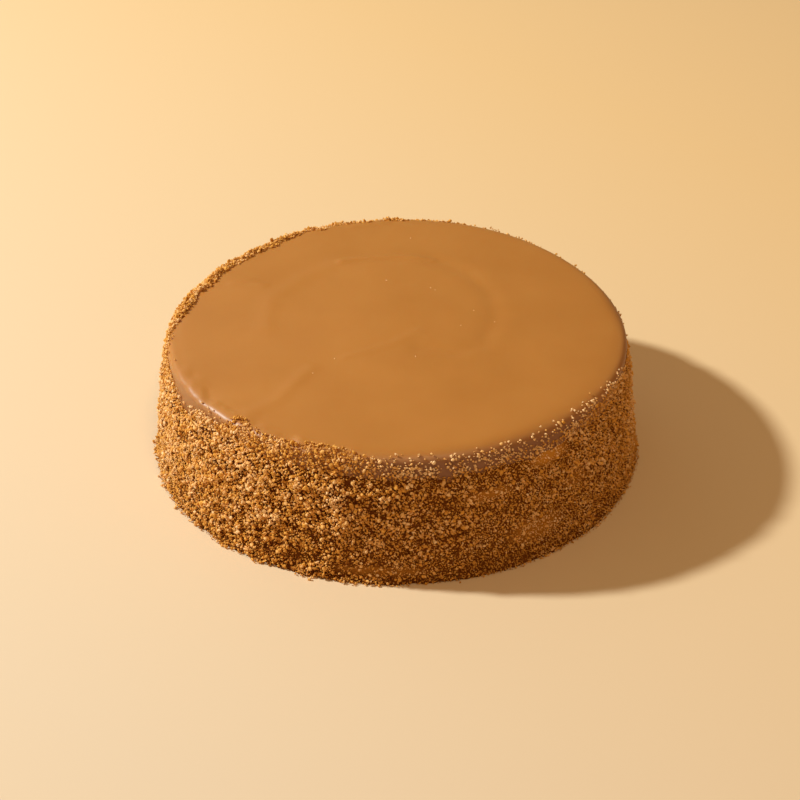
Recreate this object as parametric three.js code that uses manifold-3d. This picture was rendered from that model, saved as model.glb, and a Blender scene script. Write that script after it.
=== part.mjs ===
// A whole round tres leches cake, uncut: a milk-soaked cake with caramel icing spread over its top and drawn
// over the shoulder, and biscuit crumbs pressed round its side up over the icing's lower edge.
// Millimetres, +Z up. The origin is the middle of the foot, and the front of the cake faces -Y.
import * as THREE from "three";
import { mergeVertices } from "three/addons/utils/BufferGeometryUtils.js";
import Module from "manifold-3d";

const wasm = await Module();
wasm.setup();

// Driving dimensions
const CAKE_HEIGHT = 61;
const FOOT_RADIUS = 106.6; // of the side under the crumbs
const SIDE_LEAN = 0.1; // how far the side leans in, for each millimetre of height
const SHOULDER_REACH = 10; // how far the rounded top edge reaches in over the top
const SHOULDER_DROP = 8.5; // and how far down the side
const SHOULDER_POWER = 3.2; // 2 is an ellipse, and more is squarer
const TOP_DOME = 3.2; // how far the middle of the top stands over its rim
const TOP_SAG = 2.3; // how much lower the front of the rim is than its back
const SAG_FROM = 15; // height over which the cake slopes to the front
const SAG_FULL = 50; // and above which all of the slope is there
const ICING_TOP = 4; // thickness of the icing on the top
const ICING_LIP = 3; // and on the side
const LIP_HEIGHT = 44; // of the icing's lower edge, which the crumbs hide
const CLEARANCE = 0.3; // between the icing and the cake

// The crumb coat: its crumbs stand out unevenly, and its upper edge wanders and is ragged
const CRUMB_LEAST = 1;
const CRUMB_MOST = 2.4;
const CRUMB_COARSEST = -70; // degrees from the front, where the crumbs are coarsest
const CRUMB_COARSER = 0.35; // how much further than elsewhere they stand out there
const CRUMB_STRAY = 0.36; // how far a bump strays from its place, as a share of the spacing
const FOOT_SPILL = 0.8; // how much more stands out where crumbs have gathered round the foot
const CRUMB_LINE = 51.5;
const CRUMB_LINE_RAGGED = 1.8;
const CRUMB_LINE_WAVES = [
  { size: 1.8, cycles: 1, phase: 2.6 }, // highest at the left of the front
  { size: 0.6, cycles: 7, phase: 2.1 },
];

// The largest crumbs, each a lump of its own. Turns are in degrees from the front, towards the right.
// low and high are heights on the side, and on the shoulder they are shares of the way from side to top.
const FOOT_CRUMBS = { count: 14, from: 0, to: 360, low: 0, high: 4, small: 1.5, large: 2.4 };
const SIDE_CRUMBS = { count: 20, from: 0, to: 360, low: 7, high: 39, small: 1.9, large: 2.8 };
const EDGE_CRUMBS = { count: 16, from: -80, to: 170, low: 0.42, high: 0.6, small: 1.1, large: 1.8 };
const RIDGE_CRUMBS = { count: 28, from: 178, to: 276, low: 0.42, high: 0.8, small: 1.4, large: 2.5 };
const CRUMB_UNEVEN = 0.4; // how much nearer its middle a corner of a lump may be
const CRUMB_SUNK = 0.35; // how deep a lump sits, as a share of its size

// How finely the round faces are split
const SIDE_COLUMNS = 192;
const SIDE_ROWS = 15;
const ICING_COLUMNS = 86;
const SHOULDER_STEPS = 6;
const HIDDEN_STEPS = 2;
const TOP_RINGS = 3;

// Colours and finish
const CRUMB_FINISH = { color: 0xa8682c, roughness: 0.95, metalness: 0 };
const ICING_FINISH = { color: 0xbd7c3b, roughness: 0.38, metalness: 0 };

const TURN = 2 * Math.PI;
const GOLDEN_SHARE = (3 - Math.sqrt(5)) / 2; // of a turn, which spreads points evenly

// A repeatable stream of numbers from 0 to 1
function numbers(seed) {
  let state = seed >>> 0;
  return () => {
    state = (state + 0x6d2b79f5) >>> 0;
    let mixed = Math.imul(state ^ (state >>> 15), state | 1);
    mixed ^= mixed + Math.imul(mixed ^ (mixed >>> 7), mixed | 61);
    return ((mixed ^ (mixed >>> 14)) >>> 0) / 4294967296;
  };
}

function sideRadius(height) {
  return FOOT_RADIUS - SIDE_LEAN * height;
}

// Radius of the icing's face at a height, up the side and round the shoulder
function skinRadius(height) {
  const foot = CAKE_HEIGHT - SHOULDER_DROP;
  const upward = Math.max(0, height - foot) / SHOULDER_DROP;
  const outward = (1 - upward ** SHOULDER_POWER) ** (1 / SHOULDER_POWER);
  return sideRadius(Math.min(height, foot)) - SHOULDER_REACH * (1 - outward);
}

// Height of a place once the cake has sagged to the front, which leaves the foot and the back of the rim
function sagged(y, height) {
  const forward = (1 - y / sideRadius(CAKE_HEIGHT)) / 2;
  return height - TOP_SAG * forward * THREE.MathUtils.smoothstep(height, SAG_FROM, SAG_FULL);
}

// How far the dome stands up at a radius
function domed(radius) {
  const rim = sideRadius(CAKE_HEIGHT - SHOULDER_DROP);
  return TOP_DOME * Math.max(0, 1 - (radius / rim) ** 2);
}

// How far the crumbs stand out at an angle from the front, as a share of their usual measure
function coarseness(angle) {
  return 1 + CRUMB_COARSER * Math.cos(angle - THREE.MathUtils.degToRad(CRUMB_COARSEST));
}

// Height of the crumb coat's upper edge, before its raggedness, at an angle from the front
function crumbLine(angle) {
  const wave = ({ size, cycles, phase }) => size * Math.sin(cycles * angle + phase);
  return CRUMB_LINE_WAVES.reduce((height, each) => height + wave(each), CRUMB_LINE);
}

// The shoulder's radius and height at a depth under the icing's face, from share 0 at the side to 1 at the top
function shoulderPoint(share, depth = 0) {
  const swing = (share * Math.PI) / 2;
  const inward = 1 - Math.cos(swing) ** (2 / SHOULDER_POWER);
  const upward = Math.sin(swing) ** (2 / SHOULDER_POWER);
  const sideDepth = depth * (ICING_LIP / ICING_TOP);
  const foot = CAKE_HEIGHT - SHOULDER_DROP;
  const radius = sideRadius(foot) - sideDepth - (SHOULDER_REACH - sideDepth) * inward;
  return [radius, foot + (SHOULDER_DROP - depth) * upward];
}

// The shoulder as a run of points, from the side to the top
function shoulderRun(steps, depth) {
  return Array.from({ length: steps + 1 }, (_, step) => shoulderPoint(step / steps, depth));
}

// A geometry's bare points, with those that coincide made one
function joinedPoints(geometry) {
  const bare = geometry.clone();
  bare.deleteAttribute("normal");
  bare.deleteAttribute("uv");
  return mergeVertices(bare, 1e-4);
}

// A closed solid from a geometry, without the triangles that the axis has pinched to nothing
function solidFrom(geometry) {
  const joined = joinedPoints(geometry);
  const corners = joined.index.array;
  const kept = [];
  for (let first = 0; first < corners.length; first += 3) {
    const [a, b, c] = corners.slice(first, first + 3);
    if (a !== b && b !== c && c !== a) kept.push(a, b, c);
  }
  const vertProperties = joined.getAttribute("position").array;
  return new wasm.Manifold(new wasm.Mesh({ numProp: 3, vertProperties, triVerts: new Uint32Array(kept) }));
}

function geometryFrom(solid) {
  const { vertProperties, triVerts } = solid.getMesh();
  const geometry = new THREE.BufferGeometry();
  geometry.setAttribute("position", new THREE.BufferAttribute(vertProperties, 3));
  geometry.setIndex(new THREE.BufferAttribute(triVerts, 1));
  geometry.computeVertexNormals();
  return geometry;
}

// A solid turned about the upright axis. Its profile may differ from column to column, and runs from the axis
// round to the axis again, as points of radius, height and a sideways shift in columns.
function turnedSolid(columns, profileAt) {
  const outline = profileAt(0).map(([radius, height]) => new THREE.Vector2(radius, height));
  const geometry = new THREE.LatheGeometry(outline, columns).rotateX(Math.PI / 2);
  const position = geometry.getAttribute("position");
  for (let column = 0; column <= columns; column++) {
    const around = column % columns; // the last column closes on the first
    profileAt(around).forEach(([radius, height, shift = 0], station) => {
      const angle = (TURN * (around + shift)) / columns;
      const index = column * outline.length + station;
      const y = -radius * Math.cos(angle);
      position.setXYZ(index, radius * Math.sin(angle), y, sagged(y, height));
    });
  }
  return solidFrom(geometry);
}

// One crumb: a twenty-sided lump with its corners drawn in unevenly
function crumbLump(size, random) {
  const lump = joinedPoints(new THREE.IcosahedronGeometry(size));
  const position = lump.getAttribute("position");
  const corner = new THREE.Vector3();
  for (let index = 0; index < position.count; index++) {
    corner.fromBufferAttribute(position, index).multiplyScalar(1 - CRUMB_UNEVEN * random());
    position.setXYZ(index, corner.x, corner.y, corner.z);
  }
  return lump.rotateX(TURN * random()).rotateZ(TURN * random());
}

// A solid with crumbs spread evenly over a band of it. placeAt gives a crumb's radius and height, from its
// place between the band's low and high, and its size.
function withCrumbs(solid, band, seed, placeAt) {
  const random = numbers(seed);
  let joined = solid;
  for (let crumb = 0; crumb < band.count; crumb++) {
    const around = (crumb * GOLDEN_SHARE) % 1;
    const angle = THREE.MathUtils.degToRad(band.from + (band.to - band.from) * around);
    const place = band.low + (band.high - band.low) * ((crumb + random()) / band.count);
    const size = band.small + (band.large - band.small) * random() ** 2;
    const [radius, height] = placeAt(place, size);
    const lump = crumbLump(size, random);
    const y = -radius * Math.cos(angle);
    lump.translate(radius * Math.sin(angle), y, sagged(y, height));
    joined = joined.add(solidFrom(lump));
  }
  return joined;
}

// The cake under its icing, with the crumb coat as bumps all over its side
function cakeBody() {
  const random = numbers(41);
  const stray = () => CRUMB_STRAY * (2 * random() - 1);
  const bump = () => ({ depth: random(), shift: stray(), lift: stray() });
  const bumpColumn = () => Array.from({ length: SIDE_ROWS + 1 }, bump);
  const coat = Array.from({ length: SIDE_COLUMNS }, () => ({ bumps: bumpColumn(), rise: random() }));
  const seatRadius = sideRadius(LIP_HEIGHT);
  const seatHeight = LIP_HEIGHT - CLEARANCE;
  const hidden = [
    [seatRadius + CLEARANCE, seatHeight],
    [seatRadius - ICING_LIP - CLEARANCE, seatHeight],
    ...shoulderRun(HIDDEN_STEPS, ICING_TOP + CLEARANCE),
    [0, CAKE_HEIGHT - ICING_TOP - CLEARANCE],
  ];
  const turned = turnedSolid(SIDE_COLUMNS, (column) => {
    const { bumps, rise } = coat[column];
    const angle = (TURN * column) / SIDE_COLUMNS;
    const edge = crumbLine(angle) + CRUMB_LINE_RAGGED * rise;
    const side = bumps.map(({ depth, shift, lift }, row) => {
      const atEnd = row === 0 || row === SIDE_ROWS;
      const share = (row + (atEnd ? 0 : lift)) / SIDE_ROWS;
      const height = share * edge;
      const spill = FOOT_SPILL * (1 - share) ** 4;
      const standOut = coarseness(angle) * (CRUMB_LEAST + (CRUMB_MOST - CRUMB_LEAST) * depth);
      return [skinRadius(height) + standOut + spill, height, atEnd ? 0 : shift];
    });
    return [[0, 0], ...side, [skinRadius(edge) + CLEARANCE, edge], ...hidden];
  });
  const onSide = (height, size) => {
    const lifted = Math.max(height, size);
    return [sideRadius(lifted) + CRUMB_MOST - CRUMB_SUNK * size, lifted];
  };
  return withCrumbs(withCrumbs(turned, SIDE_CRUMBS, 7, onSide), FOOT_CRUMBS, 11, onSide);
}

// The icing: a cap over the top and the shoulder, with the crumbs that lie on its edge
function caramelIcing() {
  const underside = shoulderRun(HIDDEN_STEPS, ICING_TOP).reverse();
  const lip = [
    [sideRadius(LIP_HEIGHT) - ICING_LIP, LIP_HEIGHT],
    [sideRadius(LIP_HEIGHT), LIP_HEIGHT],
  ];
  const shoulder = shoulderRun(SHOULDER_STEPS, 0);
  const [inner] = shoulder.at(-1);
  const top = Array.from({ length: TOP_RINGS }, (_, ring) => [inner * (1 - (ring + 1) / TOP_RINGS), CAKE_HEIGHT]);
  const face = [...shoulder, ...top].map(([radius, height]) => [radius, height + domed(radius)]);
  const profile = [[0, CAKE_HEIGHT - ICING_TOP], ...underside, ...lip, ...face];
  const turned = turnedSolid(ICING_COLUMNS, () => profile);
  const onShoulder = (share, size) => {
    const [radius, height] = shoulderPoint(share);
    return [radius + CRUMB_SUNK * size, height + domed(radius) + CRUMB_SUNK * size];
  };
  return withCrumbs(withCrumbs(turned, EDGE_CRUMBS, 17, onShoulder), RIDGE_CRUMBS, 23, onShoulder);
}

function piece(name, solid, finish) {
  const mesh = new THREE.Mesh(geometryFrom(solid), new THREE.MeshStandardMaterial(finish));
  mesh.name = name;
  return mesh;
}

const cake = new THREE.Group();
cake.add(piece("cake_body", cakeBody(), CRUMB_FINISH));
cake.add(piece("caramel_icing", caramelIcing(), ICING_FINISH));

export default cake;
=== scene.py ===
"""Looks of a whole round tres leches cake: caramel icing on top and biscuit crumbs round the side.

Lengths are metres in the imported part's frame: the origin is the middle of the foot, +Z is up and the front
faces -Y. A turn is an angle round the cake in degrees from the front, towards the right (+X). A rise is the
distance up the cake's skin from the foot, first up the side, then over the shoulder and in over the top.
"""

import itertools
import logging
import math
from dataclasses import dataclass, field
from enum import Enum, IntEnum
from typing import Any, Sequence

import bpy
import numpy as np
from bpy.types import Material, Node, NodeSocket, NodeTree, Object
from mathutils import Euler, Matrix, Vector


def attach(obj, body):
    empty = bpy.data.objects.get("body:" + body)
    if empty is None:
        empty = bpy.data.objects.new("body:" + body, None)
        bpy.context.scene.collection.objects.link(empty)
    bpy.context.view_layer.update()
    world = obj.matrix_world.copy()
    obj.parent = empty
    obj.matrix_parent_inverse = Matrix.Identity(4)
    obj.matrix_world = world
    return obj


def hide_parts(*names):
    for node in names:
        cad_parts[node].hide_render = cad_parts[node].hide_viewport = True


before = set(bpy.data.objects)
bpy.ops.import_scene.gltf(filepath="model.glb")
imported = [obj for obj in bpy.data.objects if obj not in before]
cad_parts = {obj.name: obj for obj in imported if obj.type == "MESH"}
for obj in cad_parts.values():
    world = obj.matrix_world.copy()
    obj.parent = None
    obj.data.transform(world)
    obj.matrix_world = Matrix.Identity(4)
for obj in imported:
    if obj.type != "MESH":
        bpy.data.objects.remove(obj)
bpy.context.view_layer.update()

BODY = "root"
MM = 0.001
MERGE_DISTANCE = 0.001 * MM
FULL_TURN = 360
LOG = logging.getLogger("cake")
Array = np.ndarray
TurnLine = tuple[tuple[float, float], ...]

# Numbers that mix a lattice cell's place into an even spread of values

HASH_WEIGHTS = (73856093, 19349663, 83492791)
HASH_SEED = 2654435761
HASH_ROUNDS = 2
HASH_SHIFT = 16
HASH_FACTOR = 0x45D9F3B
HASH_MASK = 0xFFFFFFFF
HASH_HALF = 0x7FFFFFFF

# Blender's numbers for the colour sockets of a mix node

MIX_SHARE = 0
MIX_FIRST = 6
MIX_SECOND = 7
MIX_RESULT = 2


# Shared helpers


def linear(colour: str) -> tuple[float, float, float, float]:
    """Turn an sRGB hex colour to linear light.

    Args:
        colour: Six hex digits after a hash.

    Returns:
        Red, green, blue and an alpha of 1.
    """
    shares = [int(colour[place : place + 2], 16) / 255 for place in (1, 3, 5)]
    red, green, blue = (s / 12.92 if s <= 0.04045 else ((s + 0.055) / 1.055) ** 2.4 for s in shares)
    return red, green, blue, 1.0


def add_node(tree: NodeTree, kind: str, inputs: dict[Any, Any], **settings: Any) -> Node:
    """Add a shader node with its settings and links.

    Args:
        tree: Node tree of the material or world.
        kind: Blender's name for the kind of node.
        inputs: Value or output socket for each input, by the input's name or number.
        settings: The node's own properties.

    Returns:
        The new node.
    """
    node = tree.nodes.new(kind)
    for name, value in settings.items():
        setattr(node, name, value)
    for name, value in inputs.items():
        if isinstance(value, NodeSocket):
            tree.links.new(value, node.inputs[name])
        else:
            node.inputs[name].default_value = value
    return node


def new_material(name: str) -> Material:
    """Make an empty node material.

    Args:
        name: What the real material is.

    Returns:
        The material, with no nodes yet.
    """
    material = bpy.data.materials.new(name)
    material.use_nodes = True
    material.node_tree.nodes.clear()
    return material


def mix_colours(tree: NodeTree, share: NodeSocket, first: Any, second: Any) -> NodeSocket:
    """Mix two colours or colour sockets: the first where the share is 0, the second where it is 1."""
    inputs = {MIX_SHARE: share, MIX_FIRST: first, MIX_SECOND: second}
    return add_node(tree, "ShaderNodeMix", inputs, data_type="RGBA").outputs[MIX_RESULT]


def add_noise(tree: NodeTree, place: NodeSocket, size: float, detail: float) -> NodeSocket:
    """Add noise from 0 to 1, with its blots a given distance apart and some finer layers."""
    inputs = {"Vector": place, "Scale": 1 / size, "Detail": detail}
    return add_node(tree, "ShaderNodeTexNoise", inputs).outputs[0]


def add_grain(
    tree: NodeTree, place: NodeSocket, size: float, height: float, detail: float = 2.0
) -> NodeSocket:
    """Add a fine grain to a surface.

    Args:
        tree: Node tree of the material.
        place: Socket of the places.
        size: Distance from one grain to the next.
        height: How far a grain stands out.
        detail: How many finer layers it has.

    Returns:
        Socket of the grained surface's normal.
    """
    grain = add_noise(tree, place, size, detail)
    bump = add_node(tree, "ShaderNodeBump", {"Height": grain, "Distance": height, "Strength": 1.0})
    return bump.outputs["Normal"]


def add_surface(made: Material, inputs: dict[str, Any]) -> None:
    """Give a material its surface, with a value or an output socket for each input."""
    shader = add_node(made.node_tree, "ShaderNodeBsdfPrincipled", inputs)
    add_node(made.node_tree, "ShaderNodeOutputMaterial", {"Surface": shader.outputs["BSDF"]})


class NoiseField(IntEnum):
    """Which random field it is, one for each kind of unevenness."""

    ICING_SWAY = 3
    ICING_RIPPLE = 5
    RIM_RIPPLE = 7
    CRUMB_EDGE = 21
    CLUMPS = 31
    SMALL_CLUMPS = 32
    BUMPS = 41
    BAKE_CLOUDS = 51
    HEAPS = 61


def lattice_values(cells: Array, seed: int) -> Array:
    """Give each cell of a lattice a repeatable value.

    Args:
        cells: Whole-number places in the lattice, one row each.
        seed: Which set of values it is.

    Returns:
        Values from -1 to 1.
    """
    mixed = (cells @ np.array(HASH_WEIGHTS, dtype=np.int64) + seed * HASH_SEED) & HASH_MASK
    for _ in range(HASH_ROUNDS):
        mixed = ((mixed ^ (mixed >> HASH_SHIFT)) * HASH_FACTOR) & HASH_MASK
    return (mixed ^ (mixed >> HASH_SHIFT)) / HASH_HALF - 1


def lumps(points: Array, size: float, seed: int) -> Array:
    """Give a smooth random field that goes up and down over a given distance.

    Args:
        points: Places, one row each.
        size: Distance from one lump to the next.
        seed: Which field it is.

    Returns:
        Values from -1 to 1, mostly near 0.
    """
    cells = np.floor(points / size).astype(np.int64)
    share = points / size - cells
    eased = share * share * (3 - 2 * share)
    total = np.zeros(len(points))
    for corner in itertools.product((0, 1), repeat=3):
        weight = np.prod(np.where(corner, eased, 1 - eased), axis=1)
        total += weight * lattice_values(cells + corner, seed)
    return total


def turn_of(points: Array) -> Array:
    """Turn of each place round the cake."""
    return np.degrees(np.arctan2(points[:, 0], -points[:, 1]))


def turn_apart(turn: Array, other: float) -> Array:
    """Degrees from one turn to another, the short way round."""
    return (turn - other + FULL_TURN / 2) % FULL_TURN - FULL_TURN / 2


def along_turns(line: TurnLine, turn: Array) -> Array:
    """Read a line of values, each given at its turn, at other turns round the cake."""
    turns, values = np.array(line).T
    return np.interp(turn, turns, values, period=FULL_TURN)


def eased_step(values: Array, low: float, high: float) -> Array:
    """Ease from 0 at low to 1 at high."""
    share = np.clip((values - low) / (high - low), 0, 1)
    return share * share * (3 - 2 * share)


def points_of(piece: Object) -> Array:
    """Read a piece's mesh points.

    Args:
        piece: The piece.

    Returns:
        The places, one row each.
    """
    flat = np.empty(len(piece.data.vertices) * 3)
    piece.data.vertices.foreach_get("co", flat)
    return flat.reshape(-1, 3)


def normals_of(piece: Object) -> Array:
    """Read the normals at a piece's mesh points.

    Args:
        piece: The piece.

    Returns:
        The normals, one row each.
    """
    flat = np.empty(len(piece.data.vertices) * 3, dtype=np.float32)
    piece.data.vertex_normals.foreach_get("vector", flat)
    return flat.reshape(-1, 3).astype(float)


def move_points(piece: Object, points: Array) -> None:
    """Put a piece's mesh points at new places, one row each."""
    piece.data.vertices.foreach_set("co", points.ravel())
    piece.data.update()


def mark_points(piece: Object, attribute: str, values: Array) -> None:
    """Write a value on each of a piece's mesh points, for its material to read."""
    layer = piece.data.attributes.new(attribute, "FLOAT", "POINT")
    layer.data.foreach_set("value", values.astype(np.float32))


def spin_profile(name: str, profile: Sequence[tuple[float, float]], columns: int) -> Object:
    """Model a closed round piece: draw a point out along its profile, then spin the line about the axis.

    Args:
        name: Name of the piece.
        profile: Radius and height of each point, from the axis round to the axis again.
        columns: Steps of the spin.

    Returns:
        The piece, with its faces pointing outwards and smooth.
    """
    bpy.ops.object.select_all(action="DESELECT")
    bpy.ops.mesh.primitive_plane_add(size=MM)
    piece = bpy.context.object
    piece.name = name
    piece.data.name = name
    bpy.ops.object.mode_set(mode="EDIT")
    bpy.ops.mesh.select_mode(type="VERT")
    bpy.ops.mesh.select_all(action="SELECT")
    bpy.ops.mesh.merge(type="CENTER")
    place = Vector((0, 0, 0))
    for number, (radius, height) in enumerate(profile):
        step = Vector((0, -radius, height)) - place
        place = place + step
        if number == 0:
            bpy.ops.transform.translate(value=step)
        else:
            bpy.ops.mesh.extrude_vertices_move(TRANSFORM_OT_translate={"value": step})
    bpy.ops.mesh.select_all(action="SELECT")
    bpy.ops.mesh.spin(steps=columns, angle=math.tau, center=(0, 0, 0), axis=(0, 0, 1))
    bpy.ops.mesh.select_all(action="SELECT")
    bpy.ops.mesh.remove_doubles(threshold=MERGE_DISTANCE)
    bpy.ops.mesh.normals_make_consistent(inside=False)
    bpy.ops.mesh.faces_shade_smooth()
    bpy.ops.object.mode_set(mode="OBJECT")
    return piece


def fit_to_frame(piece: Object, node: str) -> None:
    """Let a piece stand for a node of the part and ride on its body.

    Args:
        piece: The finished piece.
        node: Name of the node that it replaces.
    """
    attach(piece, BODY)
    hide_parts(node)
    LOG.info("%s: %d faces for %s", piece.name, len(piece.data.polygons), node)


# The cake's form


@dataclass(frozen=True)
class ShoulderWear:
    """A part of the shoulder that was spread rounder than drawn, or squarer if its amount is negative."""

    turn: float
    spread: float
    amount: float


@dataclass(frozen=True)
class CakeForm:
    """Form of the iced cake under its crumbs."""

    height: float = 61 * MM
    foot_radius: float = 106.6 * MM
    lean: float = 0.1
    shoulder_reach: float = 10 * MM
    shoulder_drop: float = 8.5 * MM
    shoulder_power: float = 3.2
    shoulder_steps: int = 24
    hidden_steps: int = 3
    lip_height: float = 44 * MM
    lip_thickness: float = 3 * MM
    top_thickness: float = 4 * MM
    clearance: float = 0.3 * MM
    worn: tuple[ShoulderWear, ...] = (
        ShoulderWear(-128, 30, 3.0 * MM),
        ShoulderWear(-172, 18, 1.1 * MM),
        ShoulderWear(122, 26, 1.2 * MM),
        ShoulderWear(-84, 22, -1.6 * MM),
        ShoulderWear(-52, 18, -1.3 * MM),
        ShoulderWear(70, 32, -1.3 * MM),
    )
    worn_rise: float = 60 * MM
    worn_width: float = 4 * MM
    sag: float = 2.3 * MM
    sag_heights: tuple[float, float] = (15 * MM, 50 * MM)

    def settled(self, points: Array) -> Array:
        """Let the cake slope down a little to its front, all of it together.

        Args:
            points: Places, one row each.

        Returns:
            The same places, lowered by nothing at the foot and at the back of the rim.
        """
        share = (1 - points[:, 1] / self.side_radius(self.height)) / 2
        lowered = points.copy()
        lowered[:, 2] -= self.sag * share * eased_step(points[:, 2], *self.sag_heights)
        return lowered

    def wear(self, turn: Array, rise: Array) -> Array:
        """Find how much rounder the shoulder is than drawn, or squarer where that is negative.

        Args:
            turn: Turn of each place.
            rise: Rise of each place.

        Returns:
            How far each place lies in from the drawn shoulder.
        """
        up = (rise - self.worn_rise) / self.worn_width
        total = np.zeros(len(turn))
        for each in self.worn:
            across = turn_apart(turn, each.turn) / each.spread
            total += each.amount * np.exp(-(across**2) - up**2)
        return total

    def side_radius(self, height: Any) -> Any:
        """Radius of the leaning side at a height or at each of several."""
        return self.foot_radius - self.lean * height

    @property
    def side_top(self) -> float:
        """Height at which the side goes over into the shoulder."""
        return self.height - self.shoulder_drop

    def shoulder(self, steps: int, depth: float = 0) -> list[tuple[float, float]]:
        """Draw the rounded shoulder from the side to the top.

        Args:
            steps: How many steps it is drawn in.
            depth: How far under the icing's face, on the top.

        Returns:
            Radius and height of each point.
        """
        swing = np.linspace(0, math.pi / 2, steps + 1)
        inward = 1 - np.abs(np.cos(swing)) ** (2 / self.shoulder_power)
        upward = np.abs(np.sin(swing)) ** (2 / self.shoulder_power)
        side_depth = depth * self.lip_thickness / self.top_thickness
        radius = self.side_radius(self.side_top) - side_depth - (self.shoulder_reach - side_depth) * inward
        height = self.side_top + (self.shoulder_drop - depth) * upward
        return list(zip(radius.tolist(), height.tolist()))

    def skin(self, rise: Array) -> tuple[Array, Array, Array, Array]:
        """Find places on the skin.

        Args:
            rise: Distance up the skin from the foot, for each place.

        Returns:
            Radius, height and the outward and upward shares of the normal.
        """
        line = np.array([(self.foot_radius, 0.0), *self.shoulder(self.shoulder_steps), (0.0, self.height)])
        steps = np.diff(line, axis=0)
        lengths = np.hypot(steps[:, 0], steps[:, 1])
        along = np.concatenate([[0], np.cumsum(lengths)])
        middles = (along[:-1] + along[1:]) / 2
        outward = np.interp(rise, middles, steps[:, 1] / lengths)
        upward = np.interp(rise, middles, -steps[:, 0] / lengths)
        span = np.hypot(outward, upward)
        radius = np.interp(rise, along, line[:, 0])
        return radius, np.interp(rise, along, line[:, 1]), outward / span, upward / span

    def on_skin(self, turn: Array, rise: Array, out: Any = 0.0) -> Array:
        """Find places on the worn skin or at a distance out from it.

        Args:
            turn: Turn of each place.
            rise: Rise of each place.
            out: Distance out from the skin along its normal.

        Returns:
            The places, one row each.
        """
        radius, height, outward, upward = self.skin(rise)
        angle = np.radians(turn)
        out = out - self.wear(turn, rise)
        reach = radius + out * outward
        return np.stack([reach * np.sin(angle), -reach * np.cos(angle), height + out * upward], axis=1)


# Finishes


@dataclass(frozen=True)
class CaramelFinish:
    """Boiled-milk caramel icing, spread with a spatula: a soft satin sheen over a clouded brown."""

    pale: str = "#B87A39"
    deep: str = "#A86B2C"
    # Mauve brown mixed in low on the shoulder: crumb dust together with painted shade on the front right and
    # a painted mauve reflection on the front left.
    dusty_shade_sheen: str = "#875C45"
    dust_shade_share: float = 0.85
    attribute: str = "dusted_shaded"
    cloud_size: float = 34 * MM
    cloud_detail: float = 3.0
    grain_size: float = 1.6 * MM
    grain_height: float = 0.02 * MM
    roughness: float = 0.37
    dusty_roughness: float = 0.6
    shine: float = 0.4
    ior: float = 1.46
    glow_weight: float = 0.25
    glow_reach: float = 2.5 * MM
    glow_share: tuple[float, float, float] = (1.0, 0.42, 0.16)

    def material(self) -> Material:
        """Make the material, which reads from the mesh where the icing is dusted with crumb and painted with
        shade and a mauve reflection.

        Returns:
            The finished material.
        """
        made = new_material("caramel icing, spread")
        tree = made.node_tree
        place = add_node(tree, "ShaderNodeTexCoord", {}).outputs["Object"]
        cloud = add_noise(tree, place, self.cloud_size, self.cloud_detail)
        clouded = mix_colours(tree, cloud, linear(self.deep), linear(self.pale))
        # Share of the mauve brown: crumb dust with painted shade and painted reflection.
        dust = add_node(tree, "ShaderNodeAttribute", {}, attribute_name=self.attribute).outputs["Fac"]
        share = add_node(tree, "ShaderNodeMapRange", {"Value": dust, "To Max": self.dust_shade_share})
        rough = add_node(
            tree,
            "ShaderNodeMapRange",
            {"Value": dust, "To Min": self.roughness, "To Max": self.dusty_roughness},
        )
        add_surface(
            made,
            {
                "Base Color": mix_colours(tree, share.outputs[0], clouded, linear(self.dusty_shade_sheen)),
                "Roughness": rough.outputs[0],
                "IOR": self.ior,
                "Specular IOR Level": self.shine,
                "Subsurface Weight": self.glow_weight,
                "Subsurface Radius": self.glow_share,
                "Subsurface Scale": self.glow_reach,
                "Normal": add_grain(tree, place, self.grain_size, self.grain_height),
            },
        )
        return made


@dataclass(frozen=True)
class CrumbFinish:
    """Broken baked biscuit: dry and matt, each crumb its own brown, from toasted to golden."""

    toasted: str = "#8A4204"
    baked: str = "#DD9D44"
    golden: str = "#FAD5A4"
    baked_at: float = 0.5
    roughness: float = 0.7
    shine: float = 0.15
    ior: float = 1.45
    # The attribute holds each crumb's bake together with its painted shade and light.
    attribute: str = "bake_and_shade"

    def material(self) -> Material:
        """Make the material, which reads each crumb's own bake, with its painted shade and light, from its
        mesh.

        Returns:
            The finished material.
        """
        made = new_material("biscuit crumb, baked")
        tree = made.node_tree
        bake_and_shade = add_node(tree, "ShaderNodeAttribute", {}, attribute_name=self.attribute).outputs["Fac"]
        dark_share = add_node(tree, "ShaderNodeMapRange", {"Value": bake_and_shade, "From Max": self.baked_at})
        light_share = add_node(tree, "ShaderNodeMapRange", {"Value": bake_and_shade, "From Min": self.baked_at})
        darker = mix_colours(tree, dark_share.outputs[0], linear(self.toasted), linear(self.baked))
        add_surface(
            made,
            {
                "Base Color": mix_colours(tree, light_share.outputs[0], darker, linear(self.golden)),
                "Roughness": self.roughness,
                "IOR": self.ior,
                "Specular IOR Level": self.shine,
            },
        )
        return made


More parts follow.
